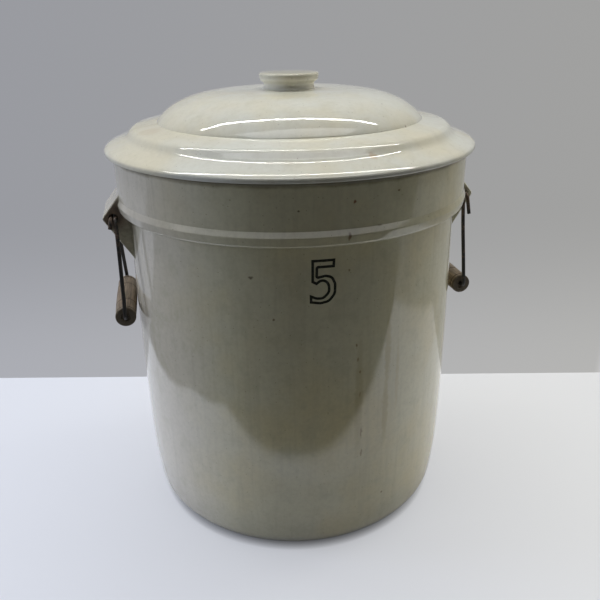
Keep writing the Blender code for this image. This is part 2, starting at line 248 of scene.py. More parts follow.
# Table and backdrop. Each edge of the table is where its fade to dark starts and ends
TABLE_SIZE = 8
TABLE_SINK = 0.0001
TABLE_FRONT = (-0.283, -0.322)
TABLE_FRONT_SLANT = 0.2
TABLE_LEFT = (-0.375, -0.405)
TABLE_CORNER = (0.376, 0.400)
TABLE_CORNER_WAY = (-0.868, -0.496)
TABLE_RIGHT = (0.57, 0.66)
TABLE_RIGHT_SHARE = 0.8
TABLE_SHADE = (0.05, 0.05, 0.045)
CONTACT_SHADE_REACH = 0.008
WALL_WIDTH = 3.6
WALL_HEIGHT = 0.64
WALL_SHIFT = -1.2
WALL_TURN = math.radians(-12.6)
WALL_PLACE = (0.05, 0.172)
WALL_END = (1.60, 1.63)

# Camera
CAMERA_LENS = 39.0
CAMERA_PLACE = (-0.12027, -0.60190, 0.46080)
CAMERA_TURN = (
    (0.97693, 0.09766, -0.18990),
    (-0.21310, 0.38822, -0.89660),
    (-0.01384, 0.91638, 0.40008),
)


def pot_radius(height):
    """Outer radius of the pot's wall, which bellies a little and draws in towards the foot."""
    if height < BELLY_HEIGHT:
        share = 1 - height / BELLY_HEIGHT
        return BELLY_RADIUS - (BELLY_RADIUS - FOOT_RADIUS) * share**HEEL_FULLNESS
    share = (height - BELLY_HEIGHT) / (SHOULDER_HEIGHT - BELLY_HEIGHT)
    return BELLY_RADIUS - (BELLY_RADIUS - SHOULDER_RADIUS) * share**SHOULDER_FULLNESS


def fillet(corners, steps, closed=False):
    """The path through the corners, each a point and a rounding radius, with its bends as arcs."""
    path = []
    for index, (point, radius) in enumerate(corners):
        here = Vector(point)
        if radius == 0 or (not closed and index in (0, len(corners) - 1)):
            path.append(here)
            continue
        last, following = corners[index - 1], corners[(index + 1) % len(corners)]
        before = Vector(last[0]) - here
        after = Vector(following[0]) - here
        half_angle = before.angle(after) / 2
        # Two roundings share the stretch between them, and one alone may take it all
        room_before = before.length * (0.5 if last[1] else 1)
        room_after = after.length * (0.5 if following[1] else 1)
        reach = min(radius / math.tan(half_angle), room_before, room_after)
        fitted = reach * math.tan(half_angle)
        towards = (before.normalized() + after.normalized()).normalized()
        centre = here + towards * (fitted / math.sin(half_angle))
        start = here + before.normalized() * reach - centre
        end = here + after.normalized() * reach - centre
        turn = start.angle(end)
        for step in range(steps + 1):
            along = turn * step / steps
            part_start = math.sin(turn - along) / math.sin(turn)
            part_end = math.sin(along) / math.sin(turn)
            path.append(centre + start * part_start + end * part_end)
    return path


def corner(radius, height, rounding=0):
    """One corner of a turned profile, in the plane of +X and +Z."""
    return (radius, 0, height), rounding


def made_mesh(name, bm):
    """A mesh made from a bmesh, which is used up."""
    mesh = bpy.data.meshes.new(name)
    bm.to_mesh(mesh)
    bm.free()
    return mesh


def made_object(name, data):
    """An object added to the scene."""
    made = bpy.data.objects.new(name, data)
    bpy.context.scene.collection.objects.link(made)
    return made


def add_piece(name, bm, material, body, sharp_angle=50):
    """Turns a bmesh into a smooth piece that rides on a body and wears the given material."""
    mesh = made_mesh(name, bm)
    mesh.shade_smooth()
    mesh.set_sharp_from_angle(angle=math.radians(sharp_angle))
    mesh.materials.append(material)
    piece = made_object(name, mesh)
    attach(piece, body)
    return piece


def spun(profile, steps, axis=(0, 0, 1), ring=False):
    """A bmesh turned from a profile. A ring's profile closes on itself, others end on the axis."""
    bm = bmesh.new()
    points = [bm.verts.new(point) for point in profile]
    edges = [bm.edges.new(pair) for pair in zip(points, points[1:])]
    if ring:
        edges.append(bm.edges.new((points[-1], points[0])))
    bmesh.ops.spin(
        bm, geom=points + edges, cent=(0, 0, 0), axis=axis, angle=math.tau,
        steps=steps, use_merge=True,
    )
    bmesh.ops.remove_doubles(bm, verts=bm.verts, dist=WELD_DISTANCE)
    bmesh.ops.recalc_face_normals(bm, faces=bm.faces)
    return bm


def mirrored(bm):
    """The bmesh turned over to the other side of the pot."""
    bmesh.ops.scale(bm, vec=(-1, 1, 1), verts=bm.verts)
    bmesh.ops.recalc_face_normals(bm, faces=bm.faces)
    return bm


def grown_points(bm, faces):
    """The new points after some faces are extruded in place."""
    grown = bmesh.ops.extrude_face_region(bm, geom=faces)
    return [item for item in grown["geom"] if isinstance(item, bmesh.types.BMVert)]


def applied(bm, setup):
    """The bmesh after the modifiers that setup adds to a passing object are applied to it."""
    passing = made_object("passing", made_mesh("passing", bm))
    helpers = setup(passing) or []
    graph = bpy.context.evaluated_depsgraph_get()
    result = bmesh.new()
    result.from_object(passing, graph)
    for helper in [passing, *helpers]:
        bpy.data.objects.remove(helper)
    return result


class Nodes:
    """Adds nodes to one material or world, joined to the sockets or set to the values given."""

    def __init__(self, owner, shader="Principled BSDF"):
        owner.use_nodes = True
        self.owner = owner
        self.tree = owner.node_tree
        self.shader = self.tree.nodes[shader]

    def add(self, kind, inputs=None, **settings):
        """A new node, its kind given without the ShaderNode that starts them all."""
        node = self.tree.nodes.new("ShaderNode" + kind)
        for key, value in settings.items():
            setattr(node, key, value)
        self.feed(node, inputs or {})
        return node

    def feed(self, node, inputs):
        for key, value in inputs.items():
            if isinstance(value, bpy.types.NodeSocket):
                self.tree.links.new(value, node.inputs[key])
            else:
                node.inputs[key].default_value = value

    def mix(self, share, first, second, blend="MIX"):
        """Colour mix of two colours or sockets by a share."""
        inputs = {0: share, 6: first, 7: second}
        return self.add("Mix", inputs, data_type="RGBA", blend_type=blend).outputs[2]

    def math(self, operation, first, second=0.0):
        return self.add("Math", {0: first, 1: second}, operation=operation).outputs[0]

    def times(self, first, second):
        return self.math("MULTIPLY", first, second)

    def plus(self, first, second, share):
        """The first value plus a share of the second."""
        return self.math("ADD", first, self.times(second, share))

    def vector(self, operation, first, second=(0.0, 0.0, 0.0)):
        node = self.add("VectorMath", {0: first, 1: second}, operation=operation)
        return node.outputs[1 if operation == "LENGTH" else 0]

    def ramp(self, value, low, high, to_low=0.0, to_high=1.0, kind="SMOOTHSTEP"):
        """A value's way from low to high, as a smooth step or a straight one."""
        inputs = {0: value, 1: low, 2: high, 3: to_low, 4: to_high}
        return self.add("MapRange", inputs, interpolation_type=kind).outputs[0]

    def noise(self, where, scale, detail=2.0, roughness=0.5, output="Fac"):
        inputs = {"Vector": where, "Scale": scale, "Detail": detail, "Roughness": roughness}
        return self.add("TexNoise", inputs).outputs[output]

    def place(self):
        return self.add("TexCoord").outputs["Object"]

    def stretched(self, where, scale):
        return self.add("Mapping", {"Vector": where, "Scale": scale}).outputs[0]

    def split(self, where):
        """The x, y and z of a place."""
        return tuple(self.add("SeparateXYZ", {0: where}).outputs)

    def bump(self, relief, strength, distance):
        inputs = {"Height": relief, "Strength": strength, "Distance": distance}
        return self.add("Bump", inputs).outputs[0]

    def rays(self):
        """What kind of ray meets the surface."""
        return self.add("LightPath").outputs


def look(name):
    """The nodes of a new material."""
    return Nodes(bpy.data.materials.new(name))


def rgba(colour, tint=(1, 1, 1)):
    """A colour times a tint, no part of it above 1, with full alpha."""
    return (*(min(part * share, 1.0) for part, share in zip(colour, tint)), 1.0)


def spot_mask(nodes, where, middle, reach):
    """1 inside an ellipsoid about a place, falling softly to 0 at its edge."""
    shifted = nodes.vector("SUBTRACT", where, [value * MILLIMETRE for value in middle])
    scaled = nodes.vector("MULTIPLY", shifted, [1 / (value * MILLIMETRE) for value in reach])
    return nodes.ramp(nodes.vector("LENGTH", scaled), 1.0, 0.35)


def specks(nodes, where, scale, size, share):
    """Small round iron specks in a share of the cells of a grid."""
    cells = nodes.add("TexVoronoi", {"Vector": where, "Scale": scale})
    near = nodes.ramp(cells.outputs["Distance"], size, size * 0.5)
    pick = nodes.add("SeparateColor", {0: cells.outputs["Color"]}).outputs[0]
    return nodes.times(near, nodes.math("LESS_THAN", pick, share))


def glaze(name, colour, marks, gloss, mottling=1.0, painted_left_light=True, grimy_and_shaded=False, bare_ends=False):
    """Cream glaze over stoneware, with clouding, stains, iron specks, marks and gentle waves."""
    nodes = look(name)
    where = nodes.place()
    cloud = nodes.noise(where, 11.0, 3.0, 0.55)
    tone = nodes.mix(nodes.ramp(cloud, 0.38, 0.66), rgba(colour, COOL), rgba(colour, WARM))
    # The left side is tinted bluish grey: painted light, as from a bluish lamp at the left
    if painted_left_light:
        across = nodes.plus(nodes.split(where)[0], cloud, 0.04)
        tone = nodes.mix(nodes.ramp(across, -0.05, -0.12), tone, rgba(colour, LEFT_LIGHT_TINT))
    noises = {}
    for layer, (scale, roughness, low, high, share, stain) in GLAZE_LAYERS.items():
        noises[layer] = nodes.noise(nodes.stretched(where, scale), 1.0, 3.0, roughness)
        stained = nodes.ramp(noises[layer], low, high, 0.0, share * mottling)
        tone = nodes.mix(stained, tone, rgba(stain))
    for scale, size, share, stain in GLAZE_SPECKS:
        speck = nodes.times(specks(nodes, where, scale, size, share), SPECK_STRENGTH)
        tone = nodes.mix(speck, tone, rgba(stain))
    # A darker foot and a line under the lid: partly grime, partly painted shade
    if grimy_and_shaded:
        tone = grime_and_painted_shade(nodes, where, noises["blots"], tone)
    tone = marked(nodes, where, marks, tone)
    rough = nodes.ramp(nodes.noise(where, 30.0, 4.0, 0.6), 0.3, 0.7, gloss * 0.7, gloss * 1.3)
    if bare_ends:
        tone, rough = bare_clay(nodes, where, cloud, tone, rough)
    waves = nodes.noise(nodes.stretched(where, (1.0, 1.0, 0.6)), 24.0, 2.0, 0.4)
    peel = nodes.noise(where, 300.0)
    relief = nodes.plus(nodes.plus(waves, peel, 0.03), noises["runs"], 0.35)
    bump = nodes.bump(relief, 1.0, 0.00035)
    nodes.feed(
        nodes.shader, {"Base Color": tone, "Roughness": rough, "Normal": bump, "IOR": 1.75}
    )
    return nodes.owner


def grime_and_painted_shade(nodes, where, blots, tone):
    """Darker towards the foot and along its edge, partly grime and partly painted shade from the
    floor, and an uneven painted shadow with some grime just under the lid's flange.
    """
    height = nodes.split(where)[2]
    # Towards the foot and along its edge: partly grime, partly painted shade from the floor
    tone = nodes.mix(nodes.ramp(height, 0.056, 0.008, 0.0, 0.24), tone, rgba(FOOT_GRIME_AND_SHADE))
    tone = nodes.mix(nodes.ramp(height, 0.021, 0.009, 0.0, 0.55), tone, rgba(FOOT_EDGE_GRIME_AND_SHADE))
    # Just under the lid's flange: an uneven painted shadow, with some grime
    uneven = nodes.plus(height, blots, 0.003)
    line = nodes.times(
        nodes.ramp(uneven, RIM_HEIGHT - 0.0040, RIM_HEIGHT - 0.0005, 0.0, 0.75),
        nodes.ramp(height, RIM_HEIGHT - 0.0004, RIM_HEIGHT - 0.0012),
    )
    return nodes.mix(line, tone, rgba(RIM_SHADOW_AND_GRIME))


def marked(nodes, where, marks, tone):
    """Spots, drips and stains with ragged edges."""
    shaken = nodes.vector("SUBTRACT", nodes.noise(where, 210.0, output="Color"), (0.5, 0.5, 0.5))
    ragged = nodes.vector("ADD", where, nodes.vector("MULTIPLY", shaken, (0.0035, 0.0035, 0.0035)))
    for middle, reach, stain, strength in marks:
        mask = spot_mask(nodes, ragged, middle, reach)
        tone = nodes.mix(nodes.times(mask, strength), tone, rgba(stain))
    return tone


def bare_clay(nodes, where, cloud, tone, rough):
    """The ears' end faces: dark rust round the bore, and beyond it thin glaze at the left."""
    x, y, z = nodes.split(where)
    face = nodes.plus(nodes.math("ABSOLUTE", y), cloud, 0.0004)
    end = nodes.ramp(face, EAR_LENGTH / 2 - 0.0002, EAR_LENGTH / 2 + 0.0002)
    out = nodes.math("SUBTRACT", nodes.math("ABSOLUTE", x), BORE_X)
    up = nodes.math("SUBTRACT", z, BORE_Z + 0.003)
    near = nodes.vector("LENGTH", nodes.add("CombineXYZ", {0: out, 1: up}).outputs[0])
    at_right = nodes.math("GREATER_THAN", x, 0.0)
    near = nodes.plus(nodes.plus(near, cloud, 0.008), at_right, 0.009)
    grain = nodes.ramp(nodes.noise(where, 160.0, 4.0, 0.65), 0.3, 0.7)
    rust = nodes.mix(grain, rgba((0.085, 0.058, 0.040)), rgba((0.17, 0.115, 0.075)))
    thin = nodes.mix(grain, rgba((0.27, 0.25, 0.18)), rgba((0.46, 0.43, 0.32)))
    beyond = nodes.mix(at_right, thin, tone)
    clay = nodes.mix(nodes.ramp(near, 0.024, 0.011), beyond, rust)
    return nodes.mix(end, tone, clay), nodes.plus(rough, end, 0.4)


def rusty_wire(name, colour):
    """Dark iron wire with patches of brown rust, most of them by the ears, and a pitted skin."""
    nodes = look(name)
    where = nodes.place()
    by_ears = nodes.ramp(nodes.split(where)[2], 0.262, 0.296, 0.0, 0.16)
    worn = nodes.math("ADD", nodes.noise(where, 190.0, 4.0, 0.65), by_ears)
    patches = nodes.ramp(worn, 0.53, 0.70)
    rust = nodes.mix(
        nodes.ramp(nodes.noise(where, 700.0, 3.0), 0.3, 0.7),
        rgba((0.165, 0.115, 0.083)),
        rgba((0.080, 0.057, 0.042)),
    )
    surface = {
        "Base Color": nodes.mix(patches, rgba(colour), rust),
        "Metallic": nodes.ramp(patches, 0.0, 1.0, 0.75, 0.1),
        "Roughness": nodes.ramp(patches, 0.0, 1.0, 0.48, 0.8),
        "Normal": nodes.bump(nodes.noise(where, 1500.0, 3.0), 0.5, 0.0003),
    }
    nodes.feed(nodes.shader, surface)
    return nodes.owner


def turned_wood(name, colour):
    """Worn turned wood, its grain along Y, darker at the ends and in the grooves."""
    nodes = look(name)
    where = nodes.place()
    grain = nodes.noise(nodes.stretched(where, (900.0, 45.0, 900.0)), 1.0, 4.0, 0.65)
    broad = nodes.noise(nodes.stretched(where, (120.0, 18.0, 120.0)), 1.0)
    dark = rgba(colour, (0.45, 0.45, 0.45))
    light = rgba(colour, (1.5, 1.5, 1.5))
    tone = nodes.mix(nodes.ramp(grain, 0.3, 0.7), dark, light)
    tone = nodes.mix(nodes.ramp(broad, 0.35, 0.7, 0.0, 0.5), tone, rgba((0.20, 0.17, 0.13)))
    along = nodes.math("ABSOLUTE", nodes.split(where)[1])
    end = nodes.ramp(along, 0.0395, 0.0418, 0.0, 0.8)
    tone = nodes.mix(end, tone, rgba((0.070, 0.056, 0.034)))
    for groove in (GROOVE_PLACE, BEAD_GROOVE_PLACE):
        gap = nodes.math("ABSOLUTE", nodes.math("SUBTRACT", along, groove))
        line = nodes.ramp(gap, 0.0013, 0.0004, 0.0, 0.75)
        tone = nodes.mix(line, tone, rgba((0.05, 0.034, 0.02)))
    rough = nodes.ramp(grain, 0.3, 0.7, 0.72, 0.5)
    bump = nodes.bump(grain, 0.4, 0.0004)
    nodes.feed(nodes.shader, {"Base Color": tone, "Roughness": rough, "Normal": bump})
    return nodes.owner


def stamped_ink(name, colour):
    """Fired blue-black ink, a little thin in places, under the glaze's gloss."""
    nodes = look(name)
    thin = nodes.ramp(nodes.noise(nodes.place(), 420.0, 3.0, 0.6), 0.45, 0.75, 0.0, 0.5)
    tone = nodes.mix(thin, rgba(colour), rgba((0.10, 0.10, 0.085)))
    nodes.feed(nodes.shader, {"Base Color": tone, "Roughness": 0.14, "IOR": 1.5})
    return nodes.owner


def length_setting(name, description, default):
    """A length in metres."""
    return bpy.props.FloatProperty(
        name=name, description=description, default=default, unit="LENGTH", subtype="DISTANCE"
    )


def colour_setting(name, description, default):
    """A colour."""
    return bpy.props.FloatVectorProperty(
        name=name, description=description, default=default, subtype="COLOR", min=0, max=1
    )


def count_setting(name, description, default, least):
    """A whole number, with its least value."""
    return bpy.props.IntProperty(name=name, description=description, default=default, min=least)


class PotSettings(bpy.types.PropertyGroup):
    turns: count_setting("Turn steps", "Facets round the pot", 192, 24)
    wall_steps: count_setting("Wall steps", "Rings up the wall", 36, 6)
    grain: length_setting("Ear grain", "Size of the facets of the moulded ears", 0.0008)
    softness: count_setting("Ear softness", "How far the ears' edges and roots are rounded", 7, 0)
    colour: colour_setting("Glaze", "Colour of the pot's glaze", (0.60, 0.56, 0.385))


class LidSettings(bpy.types.PropertyGroup):
    turns: count_setting("Turn steps", "Facets round the lid", 192, 24)
    dome_steps: count_setting("Dome steps", "Rings up the dome", 40, 6)
    colour: colour_setting("Glaze", "Colour of the lid's glaze", (0.63, 0.615, 0.54))


class NumeralSettings(bpy.types.PropertyGroup):
    height: length_setting("Height", "Height of the numeral's middle above the foot", 0.2735)
    turn: bpy.props.FloatProperty(
        name="Turn",
        description="Place of the numeral round the pot, from the middle of the front",
        default=math.radians(-2.6),
        unit="ROTATION",
        subtype="ANGLE",
    )
    stroke: length_setting("Stroke", "Width of the numeral's line", 0.0021)
    colour: colour_setting("Ink", "Colour of the ink", (0.016, 0.018, 0.012))


class BailSettings(bpy.types.PropertyGroup):
    wire_radius: length_setting("Wire radius", "Half the wire's thickness", 0.00175)
    waver: length_setting("Waver", "How far the hand-bent legs stray from straight", 0.0005)
    colour: colour_setting("Iron", "Colour of the bare wire", (0.056, 0.055, 0.055))


class GripSettings(bpy.types.PropertyGroup):
    radius: length_setting("Radius", "Radius of the grip's fullest part", 0.0097)
    groove_depth: length_setting("Groove depth", "Depth of the turned grooves", 0.0008)
    colour: colour_setting("Wood", "Colour of the wood", (0.20, 0.148, 0.098))


class StageSettings(bpy.types.PropertyGroup):
    floor_left: colour_setting("Floor left", "Colour of the table at the left", (0.71, 0.735, 0.81))
    floor_right: colour_setting(
        "Floor right", "Colour of the table at the right", (0.725, 0.73, 0.74)
    )
    wall_left: colour_setting(
        "Wall left", "Colour of the backdrop at the left", (0.322, 0.330, 0.362)
    )
    wall_right: colour_setting(
        "Wall right", "Colour of the backdrop at the right", (0.368, 0.366, 0.356)
    )
    tube_power: bpy.props.FloatProperty(
        name="Tube", description="Power of the long lamp overhead, in watts", default=27.0
    )
    soft_power: bpy.props.FloatProperty(
        name="Soft light", description="Power of the broad lamp overhead, in watts", default=35.0
    )


class MakePot(bpy.types.Operator):
    """Makes the glazed pot and its two ears"""

    bl_idname = "crock.make_pot"
    bl_label = "Make pot"

    def execute(self, context):
        settings = context.scene.crock_pot
        # The foot's rounding takes the place of the lowest sixth of the rings
        heights = [
            SHOULDER_HEIGHT * step / settings.wall_steps
            for step in range(settings.wall_steps // 6, settings.wall_steps - 1)
        ]
        profile = fillet(
            [
                corner(0, 0),
                corner(FOOT_RADIUS, 0, FOOT_ROUNDING),
                *(corner(pot_radius(height), height) for height in heights),
                corner(SHOULDER_RADIUS, SHOULDER_HEIGHT, NECK_FILLET),
                *self.neck(0),
                corner(COLLAR_RADIUS, RIM_HEIGHT, RIM_ROUNDING),
                corner(MOUTH_RADIUS, RIM_HEIGHT, RIM_ROUNDING),
                corner(INNER_RADIUS, INNER_FLOOR, INNER_ROUNDING),
                corner(0, INNER_FLOOR),
            ],
            steps=8,
        )
        pot_glaze = glaze("crock_glaze_look", settings.colour, POT_MARKS, gloss=0.06, grimy_and_shaded=True)
        pot = add_piece(
            "glazed_pot", spun(profile, settings.turns), pot_glaze, "crock"
        )
        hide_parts("crock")
        ear_glaze = glaze("ear_glaze_look", settings.colour, (), gloss=0.12, bare_ends=True)
        left = mirrored(self.ear(settings))
        right = mirrored(left.copy())
        for word, shape in (("left", left), ("right", right)):
            add_piece(word + "_ear", shape, ear_glaze, "crock")
        return {"FINISHED"}

    def neck(self, sink):
        """Corners of the bead under the collar, sunk by a little below the pot's surface."""
        return [
            corner(BEAD_RADIUS - BEAD_DRAW - sink, BEAD_FOOT, BEAD_ROUNDING),
            corner(BEAD_RADIUS - sink, BEAD_CREST, BEAD_ROUNDING),
            corner(COLLAR_RADIUS - sink, COLLAR_FOOT, BEAD_SHOULDER),
        ]

    def ear(self, settings):
        """The right ear, grown smoothly out of its patch of wall, and bored for the wire."""
        bm = self.patch()
        root_x = pot_radius(EAR_FOOT) - EAR_ROOT_DEPTH
        reach = EAR_RIDGE_X - root_x
        rise = (EAR_TOP - EAR_RIDGE_Z) / (EAR_RIDGE_X - COLLAR_RADIUS)
        fall = (EAR_RIDGE_Z - EAR_FOOT) / (EAR_RIDGE_X - pot_radius(EAR_FOOT))
        section = fillet(
            [
                corner(root_x, EAR_RIDGE_Z + rise * reach),
                corner(root_x, EAR_RIDGE_Z - fall * reach),
                corner(EAR_RIDGE_X, EAR_RIDGE_Z, EAR_RIDGE_ROUNDING),
            ],
            steps=6,
            closed=True,
        )
        start = Vector((0, -EAR_LENGTH / 2, 0))
        face = bm.faces.new([bm.verts.new(point + start) for point in section])
        bmesh.ops.translate(bm, verts=grown_points(bm, [face]), vec=(0, EAR_LENGTH, 0))
        bmesh.ops.recalc_face_normals(bm, faces=bm.faces)

        def soften(passing):
            skin = passing.modifiers.new("skin", "REMESH")
            skin.mode = "VOXEL"
            skin.voxel_size = settings.grain
            smooth = passing.modifiers.new("smooth", "SMOOTH")
            smooth.iterations = settings.softness

        return applied(applied(bm, soften), self.bore)

    def patch(self):
        """A bmesh of the patch of wall and collar under the right ear."""
        middle = (PATCH_LOW + SHOULDER_HEIGHT) / 2
        outer = fillet(
            [
                corner(pot_radius(PATCH_LOW) - PATCH_SINK, PATCH_LOW),
                corner(pot_radius(middle) - PATCH_SINK, middle),
                corner(SHOULDER_RADIUS - PATCH_SINK, SHOULDER_HEIGHT, NECK_FILLET),
                *self.neck(PATCH_SINK),
                corner(COLLAR_RADIUS - PATCH_SINK, PATCH_HIGH),
            ],
            steps=6,
        )
        inner = [
            Vector((SHOULDER_RADIUS - PATCH_DEPTH, 0, height)) for height in (PATCH_HIGH, PATCH_LOW)
        ]
        turn = Matrix.Rotation(-PATCH_TURN / 2, 3, "Z")
        bm = bmesh.new()
        face = bm.faces.new([bm.verts.new(turn @ point) for point in outer + inner])
        bmesh.ops.spin(
            bm, geom=[face, *face.edges, *face.verts], cent=(0, 0, 0), axis=(0, 0, 1),
            angle=PATCH_TURN, steps=PATCH_STEPS,
        )
        return bm

    def bore(self, passing):
        """Cuts the wire's bore right through the ear, and returns the rod that cuts it."""
        profile = [
            (0, -EAR_LENGTH, 0),
            (BORE_RADIUS, -EAR_LENGTH, 0),
            (BORE_RADIUS, EAR_LENGTH, 0),
            (0, EAR_LENGTH, 0),
        ]
        bm = spun(profile, 48, axis=(0, 1, 0))
        bmesh.ops.translate(bm, verts=bm.verts, vec=(BORE_X, 0, BORE_Z))
        rod = made_object("rod", made_mesh("rod", bm))
        cut = passing.modifiers.new("bore", "BOOLEAN")
        cut.object = rod
        cut.operation = "DIFFERENCE"
        cut.solver = "EXACT"
        return [rod]


class MakeLid(bpy.types.Operator):
    """Makes the glazed lid with its knob"""

    bl_idname = "crock.make_lid"
    bl_label = "Make lid"

    def execute(self, context):
        settings = context.scene.crock_lid
        dome_top = DOME_FOOT + DOME_HEIGHT
        knob_top = dome_top + KNOB_RISE
        rim_foot = knob_top - KNOB_RIM
        dome_start = KNOB_NECK_RADIUS + KNOB_NECK_FILLET
        corners = [
            corner(0, knob_top + KNOB_CROWN),
            corner(KNOB_RADIUS, knob_top, KNOB_ROUNDING),
            corner(KNOB_RADIUS - KNOB_CROWN, rim_foot, KNOB_ROUNDING),
            corner(KNOB_NECK_RADIUS, rim_foot - KNOB_UNDERCUT, KNOB_ROUNDING),
            corner(KNOB_NECK_RADIUS, dome_top, KNOB_NECK_FILLET),
            *self.dome(DOME_RADIUS, DOME_FOOT, dome_start, settings.dome_steps),
            corner(STEP_TOP_RADIUS, STEP_TOP, STEP_TOP_ROUNDING),
            corner(STEP_FOOT_RADIUS, STEP_FOOT, STEP_FOOT_ROUNDING),
            corner(LID_RADIUS - FLANGE_BROW_INSET, FLANGE_BROW, FLANGE_BROW_ROUNDING),
            corner(LID_RADIUS, FLANGE_LIP, FLANGE_LIP_ROUNDING),
            corner(LID_RADIUS, 0, FLANGE_FOOT_ROUNDING),
            corner(SPIGOT_RADIUS, 0),
            corner(SPIGOT_RADIUS, -SPIGOT_DEPTH, SPIGOT_ROUNDING),
            corner(SPIGOT_INNER, -SPIGOT_DEPTH, SPIGOT_ROUNDING),
            corner(SPIGOT_INNER, STEP_TOP - LID_WALL, HOLLOW_ROUNDING),
            *reversed(self.dome(DOME_RADIUS - LID_WALL, DOME_FOOT - LID_WALL, 0, HOLLOW_STEPS)),
        ]
        bm = spun(fillet(corners, steps=8), settings.turns)
        bmesh.ops.translate(bm, verts=bm.verts, vec=(0, 0, LID_SEAT))
        lid_glaze = glaze(
            "lid_glaze_look", settings.colour, LID_MARKS, gloss=0.055, mottling=0.6, painted_left_light=False
        )
        lid = add_piece("glazed_lid", bm, lid_glaze, "lid")
        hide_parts("lid")
        return {"FINISHED"}

    def dome(self, radius, foot, start_radius, steps):
        """Corners of a dome from start_radius out to its foot: flat on top, steep at the foot."""
        start = math.asin(start_radius / radius)
        corners = []
        for step in range(steps + 1):
            out_share = math.sin(start + (math.pi / 2 - start) * step / steps)
            rise_share = max(1 - out_share**DOME_FULLNESS, 0) ** DOME_SOFTNESS
            corners.append(corner(radius * out_share, foot + DOME_HEIGHT * rise_share))
        return corners


class MakeNumeral(bpy.types.Operator):
    """Makes the outlined capacity numeral on the front of the pot"""

    bl_idname = "crock.make_numeral"
    bl_label = "Make numeral"

    def execute(self, context):
        settings = context.scene.crock_numeral
        corners = [
            ((along * MILLIMETRE, 0, up * MILLIMETRE), rounding * MILLIMETRE)
            for along, up, rounding in NUMERAL
        ]
        path = fillet(corners, steps=10, closed=True)
        bm = bmesh.new()
        outline = bm.faces.new([bm.verts.new(point) for point in path])
        outline.normal_update()
        bmesh.ops.inset_region(
            bm, faces=[outline], thickness=settings.stroke, use_even_offset=True, use_boundary=True
        )
        bmesh.ops.delete(bm, geom=[outline], context="FACES_ONLY")
        long_edges = [edge for edge in bm.edges if edge.calc_length() > LONG_EDGE]
        bmesh.ops.subdivide_edges(bm, edges=long_edges, cuts=LONG_EDGE_CUTS, use_grid_fill=True)
        front = grown_points(bm, list(bm.faces))
        bmesh.ops.translate(bm, verts=front, vec=(0, -INK_THICKNESS, 0))
        # The flat numeral is bent round the pot, its back a little under the glaze
        for vert in bm.verts:
            height = vert.co.z + settings.height
            radius = pot_radius(height) - INK_SINK - vert.co.y
            turn = settings.turn + vert.co.x / pot_radius(height)
            vert.co = (radius * math.sin(turn), -radius * math.cos(turn), height)
        bmesh.ops.recalc_face_normals(bm, faces=bm.faces)
        ink = stamped_ink("ink_look", settings.colour)
        add_piece("capacity_numeral", bm, ink, "crock")
        return {"FINISHED"}


class MakeBails(bpy.types.Operator):
    """Makes the two wire bails"""

    bl_idname = "crock.make_bails"
    bl_label = "Make bails"

    def execute(self, context):
        settings = context.scene.crock_bails
        iron = rusty_wire("wire_look", settings.colour)
        for word, side in SIDES:
            bm = self.wire(self.route(side, TAIL_LENGTHS[word], settings.waver), settings)
            bmesh.ops.translate(bm, verts=bm.verts, vec=(side * BORE_X, 0, BORE_Z))
            bmesh.ops.recalc_face_normals(bm, faces=bm.faces)
            bail = add_piece("wire_" + word, bm, iron, word + "_bail")
            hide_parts(word + "_bail")
        return {"FINISHED"}

    def wire(self, route, settings):
        """A bmesh of round wire along a route, with the edges of its cut ends rounded."""
        curve = bpy.data.curves.new("route", "CURVE")
        curve.dimensions = "3D"
        curve.bevel_depth = settings.wire_radius
        curve.bevel_resolution = 5
        curve.use_fill_caps = True
        spline = curve.splines.new("POLY")
        spline.points.add(len(route) - 1)
        for point, place in zip(spline.points, route):
            point.co = (*place, 1)
        passing = made_object("route", curve)
        graph = bpy.context.evaluated_depsgraph_get()
        bm = bmesh.new()
        bm.from_mesh(passing.evaluated_get(graph).to_mesh())
        bpy.data.objects.remove(passing)
        bmesh.ops.remove_doubles(bm, verts=bm.verts, dist=WELD_DISTANCE)
        caps = [edge for face in bm.faces if len(face.verts) > 4 for edge in face.edges]
        bmesh.ops.bevel(
            bm, geom=caps, offset=settings.wire_radius * CAP_ROUNDING_SHARE,
            affect="EDGES", segments=3, profile=0.5, material=-1,
        )
        return bm

    def route(self, side, tail_length, waver):
        """The wire from tail to tail about the ear's bore, its free legs a little uneven."""
        top_y = EAR_LENGTH / 2 + EAR_END_GAP + BEND_RADIUS
        grip_y = GRIP_HALF_LENGTH + GRIP_END_GAP + BEND_RADIUS
        grip_x = GRIP_X - BORE_X
        tail_x = WIRE_OFFSET + TAIL_LEAN * tail_length / TAIL_LENGTHS["right"]
        out_top, out_low = (WIRE_OFFSET, top_y, 0), (grip_x, grip_y, -BAIL_DROP)
        back_low, back_top = (grip_x, -grip_y, -BAIL_DROP), (-WIRE_OFFSET, -top_y, 0)
        places = [
            ((tail_x, -top_y, -tail_length), 0),
            ((WIRE_OFFSET, -top_y, 0), BEND_RADIUS),
            (out_top, BEND_RADIUS),
            *self.leg(out_top, out_low, waver),
            (out_low, BEND_RADIUS),
            (back_low, BEND_RADIUS),
            *self.leg(back_low, back_top, -waver),
            (back_top, BEND_RADIUS),
            ((-WIRE_OFFSET, top_y, 0), BEND_RADIUS),
            ((-tail_x, top_y, -tail_length), 0),
        ]
        handed = [((side * x, y, z), bend) for (x, y, z), bend in places]
        return fillet(handed, steps=12)

    def leg(self, start, end, waver):
        """Corners along one free leg, which bows a little both ways."""
        corners = []
        for step in range(1, LEG_STEPS):
            share = step / LEG_STEPS
            point = Vector(start).lerp(Vector(end), share)
            point.y += waver * math.sin(share * math.tau)
            point.x += waver * math.sin(share * math.pi) * LEG_BOW_SHARE
            corners.append((tuple(point), LEG_ROUNDING))
        return corners


